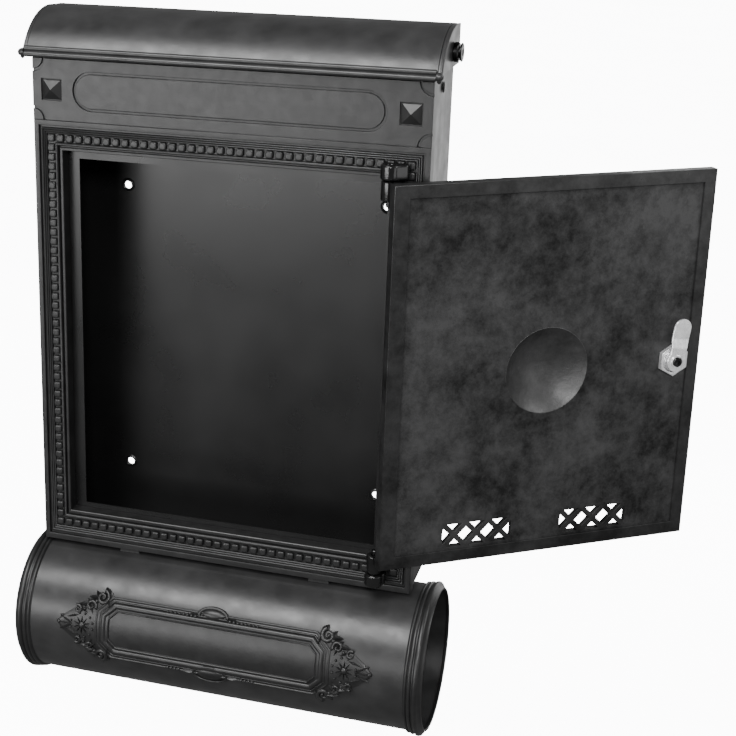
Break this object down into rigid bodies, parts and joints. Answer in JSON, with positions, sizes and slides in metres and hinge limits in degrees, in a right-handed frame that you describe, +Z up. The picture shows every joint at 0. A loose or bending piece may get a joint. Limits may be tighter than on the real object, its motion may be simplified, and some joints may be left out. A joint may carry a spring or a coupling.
{
  "type": "wall letterbox",
  "caption": "Wall-hung letterbox with a barrel lid that lifts, a cam-locked ornamental front door and an open newspaper tube below.",
  "frame": {"origin": "on the rear panel's outer face, at mid height and mid width of the box", "axes": "+Z up, +Y out of the back into the wall, so the front faces -Y, and +X to the right seen from the front"},
  "size_m": [0.4995, 0.174, 0.538],
  "materials": {
    "black_sheet": "satin black powder coat",
    "black_cast": "black lacquer over cast metal, slightly mottled",
    "dark_steel": "blackened steel",
    "zinc_steel": "bright zinc plate"
  },
  "bodies": {
    "housing": {"rear_panel": "black_sheet", "side_wall_left": "black_sheet", "side_wall_right": "black_sheet", "floor_panel": "black_sheet", "door_stop_frame": "black_sheet", "front_casting": "black_cast", "casting_screw_1": "zinc_steel", "casting_screw_2": "zinc_steel", "casting_screw_3": "zinc_steel", "casting_screw_4": "zinc_steel", "hinge_pin_top": "dark_steel", "hinge_pin_lower": "dark_steel", "lid_pivot_screw_left": "dark_steel", "lid_pivot_screw_right": "dark_steel", "lid_pivot_spacer_left": "dark_steel", "lid_pivot_spacer_right": "dark_steel", "lid_pivot_nut_left": "zinc_steel", "lid_pivot_nut_right": "zinc_steel", "side_rivet_left": "dark_steel", "side_rivet_right": "dark_steel", "tube_shell": "black_sheet", "tube_ring_left": "black_cast", "tube_ring_right": "black_cast", "tube_bracket_left": "black_sheet", "tube_bracket_right": "black_sheet", "tube_screw_left": "zinc_steel", "tube_screw_right": "zinc_steel", "tube_nut_left": "zinc_steel", "tube_nut_right": "zinc_steel", "tube_plaque": "black_cast"},
    "lid": {"lid_shell": "black_sheet", "lid_end_left": "black_sheet", "lid_end_right": "black_sheet"},
    "door": {"door_panel": "black_cast", "lock_barrel": "zinc_steel", "lock_nut": "zinc_steel"},
    "cam": {"lock_plug": "zinc_steel", "lock_cam": "zinc_steel", "cam_screw": "zinc_steel"}
  },
  "joints": [
    {"name": "door_hinge", "type": "hinge", "parent": "housing", "child": "door", "pos_m": [0.1235, -0.081, 0], "axis": [0, 0, 1], "range_deg": [-215, 0]},
    {"name": "lid_hinge", "type": "hinge", "parent": "housing", "child": "lid", "pos_m": [0, -0.03, 0.2065], "axis": [-1, 0, 0], "range_deg": [0, 60]},
    {"name": "cam_turn", "type": "hinge", "parent": "door", "child": "cam", "pos_m": [0.31027, 0.04977, -0.0225], "axis": [-0.5736, 0.8192, 0], "range_deg": [-8, 82]}
  ]
}
